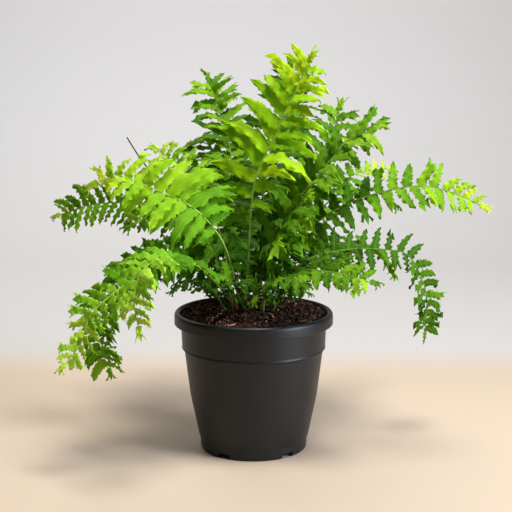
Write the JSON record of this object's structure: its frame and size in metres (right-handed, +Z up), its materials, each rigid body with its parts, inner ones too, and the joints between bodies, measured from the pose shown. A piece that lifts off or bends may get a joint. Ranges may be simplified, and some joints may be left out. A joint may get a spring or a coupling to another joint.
{
  "type": "potted fishtail fern",
  "caption": "Arching fern with forked, wavy-edged leaflets, growing from peat soil in a round tapered nursery pot; stands on a floor or shelf as an indoor plant.",
  "frame": {"origin": "centre of the pot's flat underside, on the surface that it stands on", "axes": "+Z up along the pot's axis, -Y towards the viewer of the picture, +X to the viewer's right"},
  "size_m": [0.4703, 0.3999, 0.4321],
  "materials": {
    "black_plastic": "satin",
    "potting_soil": "matte",
    "lime_leaf": "satin",
    "green_leaf": "satin",
    "deep_leaf": "satin",
    "dry_stalk": "matte"
  },
  "bodies": {
    "root": {"pot": "black_plastic", "soil": "potting_soil", "frond_crown": "lime_leaf", "frond_right_tall": "green_leaf", "frond_left_front": "lime_leaf", "frond_right_long": "lime_leaf", "frond_left_low": "lime_leaf", "frond_left_hanging": "green_leaf", "frond_front_left": "lime_leaf", "frond_left_long": "green_leaf", "frond_right_arch": "deep_leaf", "frond_tall_left": "green_leaf", "frond_right_low": "green_leaf", "frond_left_middle": "green_leaf", "frond_crown_back": "deep_leaf", "frond_right_back": "lime_leaf", "frond_right_tall_back": "green_leaf", "frond_left_back": "green_leaf", "frond_left_lime": "lime_leaf", "frond_centre_right": "green_leaf", "frond_centre_left": "deep_leaf", "frond_front_short": "deep_leaf", "frond_back_right": "green_leaf", "frond_back_left": "green_leaf", "frond_back_far_right": "deep_leaf", "frond_back_far_left": "deep_leaf", "frond_side_left": "green_leaf", "frond_side_right": "green_leaf", "frond_back_low": "green_leaf", "frond_back_low_right": "deep_leaf", "frond_back_low_left": "deep_leaf", "frond_young_left": "green_leaf", "frond_young_front": "green_leaf", "frond_young_right": "green_leaf", "bare_stalk": "dry_stalk"}
  },
  "joints": []
}
